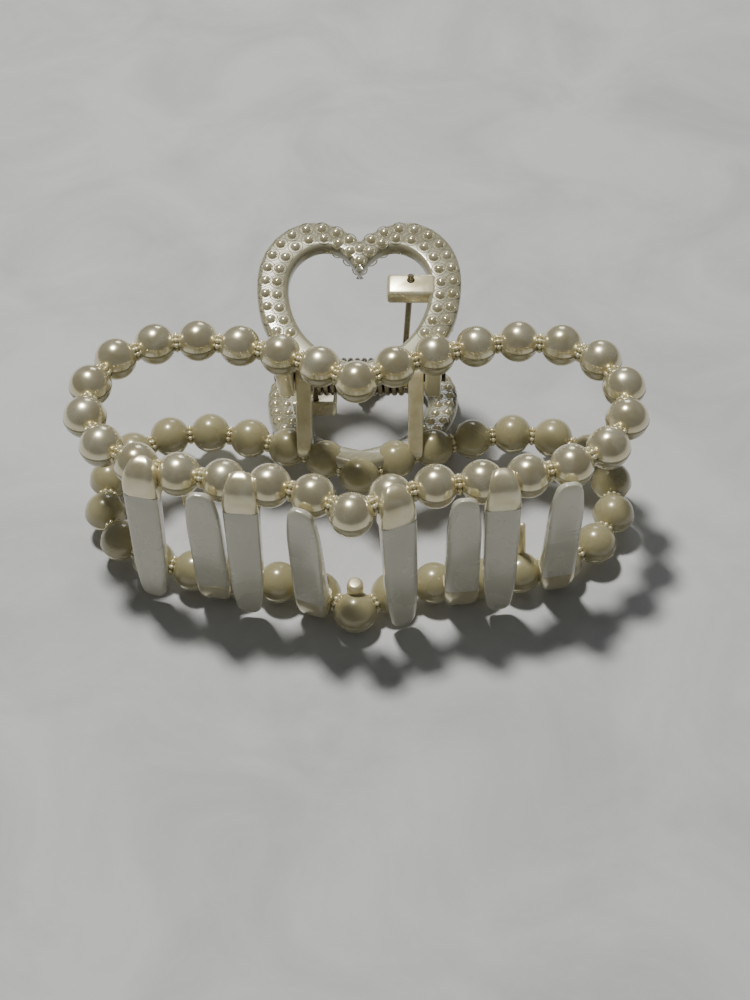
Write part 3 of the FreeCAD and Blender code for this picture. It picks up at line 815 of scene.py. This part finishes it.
def stacked(name, sections, rounding):
    """Extrude a square with rounded corners through (height, half width, front, back)."""
    height, half, front, back = sections[0]
    piece = start_piece(bpy.ops.mesh.primitive_plane_add, name, size=1.0)
    pick(piece, "vertices", lambda v: True)
    bpy.ops.mesh.bevel(affect="VERTICES", offset=rounding, segments=7, profile=0.5)
    bpy.ops.mesh.select_all(action="SELECT")
    bpy.ops.transform.resize(value=(2 * half, front - back, 1), center_override=(0, 0, 0))
    bpy.ops.transform.translate(value=(0, -(front + back) / 2, height))
    for (h0, w0, f0, b0), (h1, w1, f1, b1) in zip(sections, sections[1:]):
        bpy.ops.mesh.extrude_region_move(TRANSFORM_OT_translate={
            "value": (0, (f0 + b0 - f1 - b1) / 2, h1 - h0)})
        bpy.ops.transform.resize(value=(w1 / w0, (f1 - b1) / (f0 - b0), 1),
                                 center_override=(0, -(f1 + b1) / 2, h1))
    bpy.ops.mesh.select_all(action="SELECT")
    bpy.ops.mesh.normals_make_consistent(inside=False)
    leave_edit()
    return piece


class CLIP_OT_teeth(bpy.types.Operator):
    """Model the flat teeth, with rounded shoulders and tapered tips"""
    bl_idname = "clip.teeth"
    bl_label = "Teeth"

    def execute(self, context):
        tooth = context.scene.clip_tooth
        for number, x in enumerate(TOOTH_PLACES, 1):
            point, heading = ring_station(x, True)
            blade = stacked("blade", blade_sections(2 * point.z + tooth.overrun), BLADE_ROUNDING)
            shoulder = stacked("shoulder", shoulder_sections(), SHOULDER_ROUNDING)
            turn = Matrix.Rotation(tooth.facing * heading, 4, "Z")
            for piece in (blade, shoulder):
                piece.data.transform(Matrix.Translation(point) @ turn)
            name = "tooth_%d" % number
            on_both_halves(blade, "flat_" + name, [name],
                           plastic_material("satin_pearl"))
            on_both_halves(shoulder, "shoulder_" + name, [],
                           pearl_material("shoulder_pearl"))
        return {"FINISHED"}


def nearest_front_pearl(x):
    """The front run's pearl closest to x."""
    depth = bpy.context.scene.clip_ring.front_depth
    front = [c for c in pearl_centres() if c.y < -depth / 3]
    return min(front, key=lambda c: abs(c.x - x))


class CLIP_OT_spikes(bpy.types.Operator):
    """Model the grip spikes and the centre nub"""
    bl_idname = "clip.spikes"
    bl_label = "Spikes"

    def execute(self, context):
        tooth = context.scene.clip_tooth
        material = pearl_material("moulded_pearl")
        for number, x in enumerate(SPIKE_PLACES, 1):
            foot = nearest_front_pearl(x) + Vector((0, tooth.setback, 0))
            spike = start_piece(bpy.ops.mesh.primitive_cone_add, "spike", vertices=24,
                                radius1=tooth.spike_root / 2, radius2=tooth.spike_tip / 2,
                                depth=tooth.spike_length)
            rounded(spike, tooth.spike_edge, 5)
            hang = Matrix.Translation(foot - Vector((0, 0, tooth.spike_length / 2)))
            spike.data.transform(hang @ Matrix.Rotation(math.pi, 4, "X"))
            on_both_halves(spike, "spike_%d" % number, ["grip_spike_%d" % number],
                           material)
        foot = nearest_front_pearl(0.0) + Vector((0, tooth.setback, 0))
        nub = start_piece(bpy.ops.mesh.primitive_cylinder_add, "nub", vertices=28,
                          radius=tooth.nub / 2, depth=tooth.nub_length)
        rounded(nub, tooth.nub_edge, 5)
        nub.data.transform(Matrix.Translation(foot - Vector((0, 0, tooth.nub_length / 2))))
        on_both_halves(nub, "nub", ["centre_nub"], material)
        return {"FINISHED"}


def heart_band(name):
    """The flat band between rim and window, with rounded edges, from a filled outline."""
    heart = bpy.context.scene.clip_heart
    flat = start_curve(bpy.ops.curve.primitive_bezier_circle_add).data
    flat.dimensions = "2D"
    flat.fill_mode = "BOTH"
    for right in heart_edges(BAND_SAMPLES):
        poly_line(flat, np.vstack([right, right[-2:0:-1] * (-1.0, 1.0, 1.0)]), closed=True)
    flat.extrude = heart.thickness / 2 - heart.rim
    flat.bevel_depth = heart.rim
    flat.offset = -heart.rim
    flat.bevel_resolution = 4
    bpy.ops.object.convert(target="MESH")
    band = bpy.context.object
    band.name = name
    pick(band, "vertices", lambda v: True)
    bpy.ops.mesh.remove_doubles(threshold=WELD)
    bpy.ops.mesh.select_all(action="SELECT")
    bpy.ops.mesh.normals_make_consistent(inside=False)
    leave_edit()
    return band


def seed_places():
    """Flat places of the seed pearls: two rows a side and two at the cusp."""
    scene = bpy.context.scene
    heart = scene.clip_heart
    outer, inner = heart_edges(SEED_ROW_SAMPLES)
    last = scene.clip_ring.crest_rise - heart.reach - heart.seed_run
    right = []
    for share in (heart.outer_row, heart.inner_row):
        line = outer * (1 - share) + inner * share
        travelled = np.concatenate([[0], np.cumsum(np.linalg.norm(np.diff(line, axis=0), axis=1))])
        for wanted in np.arange(heart.seed_pitch, travelled[-1], heart.seed_pitch):
            x, y = (np.interp(wanted, travelled, line[:, k]) for k in (0, 1))
            if x > heart.seed_pitch / 2 and y > last:
                right.append((x, y))
    cusp = [(0.0, heart.cusp_rise - share * heart.cusp_band) for share in (heart.outer_row, heart.cusp_row)]
    return right + [(-x, y) for x, y in right] + cusp


class CLIP_OT_hearts(bpy.types.Operator):
    """Model the heart handles with their seed pearls and the fine ridges round them"""
    bl_idname = "clip.hearts"
    bl_label = "Hearts"

    def execute(self, context):
        heart = context.scene.clip_heart
        band = heart_band("heart_band")
        seed = start_piece(bpy.ops.mesh.primitive_uv_sphere_add, "seed", segments=10,
                           ring_count=6, radius=heart.seed / 2)
        cell = start_piece(bpy.ops.mesh.primitive_torus_add, "cell", major_segments=12,
                           minor_segments=4, major_radius=heart.cell,
                           minor_radius=heart.cell_ridge / 2, generate_uvs=False)
        face = heart.thickness / 2
        sunk = face + heart.seed_rise - heart.seed / 2
        flat = seed_places()
        seeds = repeated(seed, [Matrix.Translation((x, y, side * sunk))
                                for x, y in flat for side in (1, -1)], "seeds")
        cells = repeated(cell, [Matrix.Translation((x, y, side * (face - heart.cell_ridge * 0.2)))
                                for x, y in flat for side in (1, -1)], "cells")
        place = heart_matrix()
        for item in (band, seeds, cells):
            item.data.transform(place)
        band_material = plastic_material("heart_plastic")
        seed_material = pearl_material("seed_lacquer")
        on_both_halves(band, "heart_band", ["heart_handle"], band_material)
        on_both_halves(seeds, "heart_seeds", [], seed_material)
        on_both_halves(cells, "heart_cells", [], band_material)
        return {"FINISHED"}


def coil_radius():
    """Radius of the spring wire's centre line."""
    hinge = bpy.context.scene.clip_hinge
    return (hinge.coil - hinge.wire) / 2


def leg_line():
    """Start, direction and length of the upper leg, and the whole angle of the coil."""
    scene = bpy.context.scene
    hinge = scene.clip_hinge
    radius = coil_radius()
    block = heart_matrix().translation - Vector((0, hinge.reach, 0))
    start_angle = math.atan2(block.z, block.y) - math.acos(radius / math.hypot(block.y, block.z))
    angle = 2 * math.pi * hinge.turns + 2 * start_angle
    half_length = hinge.coil_pitch * angle / (4 * math.pi)
    start = Vector((half_length, radius * math.cos(start_angle), radius * math.sin(start_angle)))
    climb = hinge.coil_pitch / (2 * math.pi)
    direction = Vector((climb, -start.z, start.y)).normalized()
    tilt = scene.clip_heart.tilt
    square = Vector((0, -math.sin(tilt), math.cos(tilt)))
    to_far_face = (block - start).dot(square) + hinge.block_height / 2
    run = to_far_face / direction.dot(square) + hinge.leg_out
    return start + Vector((0, hinge.reach, 0)), direction, run, angle


class CLIP_OT_blocks(bpy.types.Operator):
    """Model the bored blocks that hold the spring's legs"""
    bl_idname = "clip.blocks"
    bl_label = "Spring blocks"

    def execute(self, context):
        scene = context.scene
        hinge, heart = scene.clip_hinge, scene.clip_heart
        inner_edge = heart.half_width - heart.band
        size = (hinge.block_length + hinge.block_root, hinge.block_width, hinge.block_height)
        middle = inner_edge + hinge.block_root - size[0] / 2
        block = start_piece(bpy.ops.mesh.primitive_cube_add, "block", size=1.0, scale=size,
                            location=(middle, 0, 0))
        with_modifier(block, "BEVEL", width=hinge.block_edge, segments=5)
        block.data.transform(heart_matrix())
        start, direction, run, _ = leg_line()
        bored(block, hinge.wire / 2 + hinge.leg_clearance,
              start + direction * run * DRILL_CENTRE, direction, run)
        material = pearl_material("block_pearl")
        on_both_halves(block, "block", ["spring_block"], material)
        return {"FINISHED"}


def ear_plate(name, foot, low, high, bore):
    """A flat ear, drawn as a round plate whose near half is carried to its foot."""
    hinge = bpy.context.scene.clip_hinge
    axis_point = Vector((low, hinge.reach, 0.0))
    plate = start_piece(bpy.ops.mesh.primitive_circle_add, name, vertices=48, radius=hinge.ear,
                        fill_type="NGON", location=axis_point, rotation=(0, math.pi / 2, 0))
    span = Vector((0.0, foot.y - hinge.reach, foot.z))
    near = span.normalized()
    pick(plate, "vertices", lambda v: (v.co - axis_point).dot(near) > 1e-6)
    narrowed = hinge.foot / (2 * hinge.ear)
    bpy.ops.transform.resize(value=(1, narrowed, narrowed), center_override=axis_point)
    bpy.ops.transform.translate(value=span - near * hinge.foot_short)
    bpy.ops.mesh.select_all(action="SELECT")
    bpy.ops.mesh.extrude_region_move(TRANSFORM_OT_translate={"value": (high - low, 0, 0)})
    bpy.ops.mesh.select_all(action="SELECT")
    bpy.ops.mesh.normals_make_consistent(inside=False)
    leave_edit()
    rounded(plate, hinge.edge, 4)
    bored(plate, bore, axis_point, Vector((1, 0, 0)), 4 * (high - low))
    return plate


class CLIP_OT_ears(bpy.types.Operator):
    """Model the hinge ears, the lower pair with bosses for the coil"""
    bl_idname = "clip.ears"
    bl_label = "Hinge ears"

    def execute(self, context):
        hinge = context.scene.clip_hinge
        inner_low = hinge.inner_face
        inner_high = inner_low + hinge.inner_thickness
        outer_low = inner_high + hinge.gap
        outer_high = outer_low + hinge.outer_thickness
        inner_foot, _ = ring_station((inner_low + inner_high) / 2, False)
        outer_foot, _ = ring_station((outer_low + outer_high) / 2, False)
        lower = Vector((0, inner_foot.y, -inner_foot.z))
        inner = ear_plate("lower_ear", lower, inner_low, inner_high, hinge.pin / 2)
        boss_radius = coil_radius() - hinge.wire / 2 - hinge.boss_gap
        boss_at = (inner_low - hinge.boss / 2, hinge.reach, 0)
        boss = start_piece(bpy.ops.mesh.primitive_cylinder_add, "boss", vertices=40,
                           radius=boss_radius, depth=hinge.boss, location=boss_at,
                           rotation=(0, math.pi / 2, 0))
        rounded(boss, hinge.boss_edge, 3)
        bored(boss, hinge.pin / 2, Vector(boss_at), Vector((1, 0, 0)), 4 * hinge.boss)
        inner = joined("lower_ear", [inner, boss])
        bore = hinge.pin / 2 + hinge.pin_clearance
        outer = ear_plate("upper_ear", outer_foot, outer_low, outer_high, bore)
        lay = half_matrices()["upper"]
        flip = Matrix.Scale(-1, 4, (1, 0, 0))
        material = pearl_material("moulded_pearl")
        for template, half in ((inner, "lower"), (outer, "upper")):
            for side, turn in (("right", Matrix.Identity(4)), ("left", flip)):
                ear = copied(template, lay @ turn, "%s_ear_%s" % (half, side))
                if side == "left":
                    ear.data.flip_normals()
                smooth(ear)
                hand_over(ear, half, ["%s_hinge_ear_%s" % (half, side)], material)
            bpy.data.objects.remove(template)
        return {"FINISHED"}


class CLIP_OT_pin(bpy.types.Operator):
    """Model the hinge pin with its lightly peened ends"""
    bl_idname = "clip.pin"
    bl_label = "Hinge pin"

    def execute(self, context):
        hinge = context.scene.clip_hinge
        half = hinge.inner_face + hinge.inner_thickness + hinge.gap + hinge.outer_thickness
        half += hinge.stick_out
        pin = start_piece(bpy.ops.mesh.primitive_cylinder_add, "pin", vertices=32,
                          radius=hinge.pin / 2, depth=2 * half,
                          location=(0, hinge.reach, 0), rotation=(0, math.pi / 2, 0))
        pick(pin, "polygons", lambda f: len(f.vertices) > 4)
        bpy.ops.mesh.inset(thickness=hinge.pin_inset)
        leave_edit()
        rounded(pin, hinge.pin_edge, 3)
        pin.data.transform(half_matrices()["upper"])
        smooth(pin)
        pin.name = "steel_pin"
        finish = context.scene.clip_finish
        material = metal_material("dark_pin", finish.dark_steel, BLACK_STEEL, 0.22)
        hand_over(pin, "lower", ["hinge_pin"], material)
        return {"FINISHED"}


class CLIP_OT_spring(bpy.types.Operator):
    """Wind the torsion spring, with one straight leg to each block"""
    bl_idname = "clip.spring"
    bl_label = "Torsion spring"

    def execute(self, context):
        hinge = context.scene.clip_hinge
        start, direction, run, angle = leg_line()
        radius = coil_radius()
        steps = STEPS_PER_TURN * hinge.turns
        leg = [start + direction * run * share for share in LEG_STEPS]
        points = leg[::-1]
        for i in range(steps + 1):
            turn = angle / 2 - angle * i / steps
            offset = turn + math.pi * hinge.turns
            points.append(Vector((hinge.coil_pitch * turn / (2 * math.pi),
                                  hinge.reach + radius * math.cos(offset),
                                  radius * math.sin(offset))))
        half_turn = Matrix.Rotation(math.pi, 4, "Y")
        points += [half_turn @ point for point in leg]
        wire = start_curve(bpy.ops.curve.primitive_nurbs_path_add)
        poly_line(wire.data, points)
        wire.data.bevel_depth = hinge.wire / 2
        wire.data.bevel_resolution = 3
        wire.data.use_fill_caps = True
        bpy.ops.object.convert(target="MESH")
        spring = bpy.context.object
        spring.name = "wound_spring"
        spring.data.transform(half_matrices()["upper"])
        smooth(spring)
        finish = context.scene.clip_finish
        spring.data.materials.clear()
        spring.data.materials.append(metal_material("spring_wire", finish.steel,
                                                    finish.dark_steel, 0.18))
        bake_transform(spring)
        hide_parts("torsion_spring")
        return {"FINISHED"}


def area_light(name, place, size, power, tint):
    """A square soft light aimed at the clip."""
    data = bpy.data.lights.new(name, "AREA")
    data.shape = "SQUARE"
    data.size = size
    data.energy = power
    data.color = tint
    lamp = bpy.data.objects.new(name, data)
    lamp.location = place
    lamp.rotation_euler = (LIT_POINT - lamp.location).to_track_quat("-Z", "Y").to_euler()
    bpy.context.collection.objects.link(lamp)


class CLIP_OT_stage(bpy.types.Operator):
    """Lay the floor and set the lights and the camera"""
    bl_idname = "clip.stage"
    bl_label = "Stage"

    def execute(self, context):
        scene = context.scene
        stage = scene.clip_stage
        floor = start_piece(bpy.ops.mesh.primitive_plane_add, "floor", size=stage.floor_size)
        floor.data.materials.append(floor_material())

        target = half_matrices()["upper"] @ Vector((stage.target_side, -stage.target_ahead, 0.0))
        elevation = stage.elevation - stage.rest_tilt
        back = Vector((math.sin(stage.azimuth) * math.cos(elevation),
                       -math.cos(stage.azimuth) * math.cos(elevation), math.sin(elevation)))
        right = Vector((0, 0, 1)).cross(back).normalized()
        up = back.cross(right)
        level = Matrix((right, up, back)).transposed().to_4x4()
        camera_data = bpy.data.cameras.new("camera")
        camera_data.sensor_width = 36.0
        camera_data.lens = stage.lens
        camera = bpy.data.objects.new("camera", camera_data)
        camera.matrix_world = (Matrix.Translation(target + back * stage.distance) @ level
                               @ Matrix.Rotation(stage.roll, 4, "Z"))
        scene.collection.objects.link(camera)
        scene.camera = camera

        for light in LIGHTS:
            area_light(*light)
        world = bpy.data.worlds.new("studio")
        world.use_nodes = True
        sky = world.node_tree.nodes["Background"]
        fill(sky, {"Color": SKY_TINT, "Strength": SKY_STRENGTH})
        scene.world = world
        return {"FINISHED"}


PIECE_OPERATORS = (CLIP_OT_pearls, CLIP_OT_neck_grains, CLIP_OT_teeth, CLIP_OT_spikes,
                   CLIP_OT_hearts, CLIP_OT_blocks, CLIP_OT_ears, CLIP_OT_pin, CLIP_OT_spring,
                   CLIP_OT_stage)


class CLIP_PT_panel(bpy.types.Panel):
    """Buttons for the clip's pieces and its stage"""
    bl_idname = "CLIP_PT_panel"
    bl_label = "Pearl Claw Clip"
    bl_space_type = "VIEW_3D"
    bl_region_type = "UI"
    bl_category = "Claw Clip"

    def draw(self, context):
        for operator in PIECE_OPERATORS:
            self.layout.operator(operator.bl_idname)
        for name, group in SETTINGS.items():
            box = self.layout.box()
            box.label(text=group.__doc__)
            for key in group.__annotations__:
                box.prop(getattr(context.scene, name), key)


def register():
    """Register the settings, operators and panel."""
    for name, group in SETTINGS.items():
        bpy.utils.register_class(group)
        setattr(bpy.types.Scene, name, bpy.props.PointerProperty(type=group))
    for item in PIECE_OPERATORS + (CLIP_PT_panel,):
        bpy.utils.register_class(item)


def unregister():
    """Undo register."""
    for item in reversed(PIECE_OPERATORS + (CLIP_PT_panel,)):
        bpy.utils.unregister_class(item)
    for name, group in SETTINGS.items():
        delattr(bpy.types.Scene, name)
        bpy.utils.unregister_class(group)


def main():
    """Build every piece and the stage."""
    register()
    bpy.ops.clip.pearls()
    bpy.ops.clip.neck_grains()
    bpy.ops.clip.teeth()
    bpy.ops.clip.spikes()
    bpy.ops.clip.hearts()
    bpy.ops.clip.blocks()
    bpy.ops.clip.ears()
    bpy.ops.clip.pin()
    bpy.ops.clip.spring()
    bpy.ops.clip.stage()


if __name__ == "__main__":
    main()
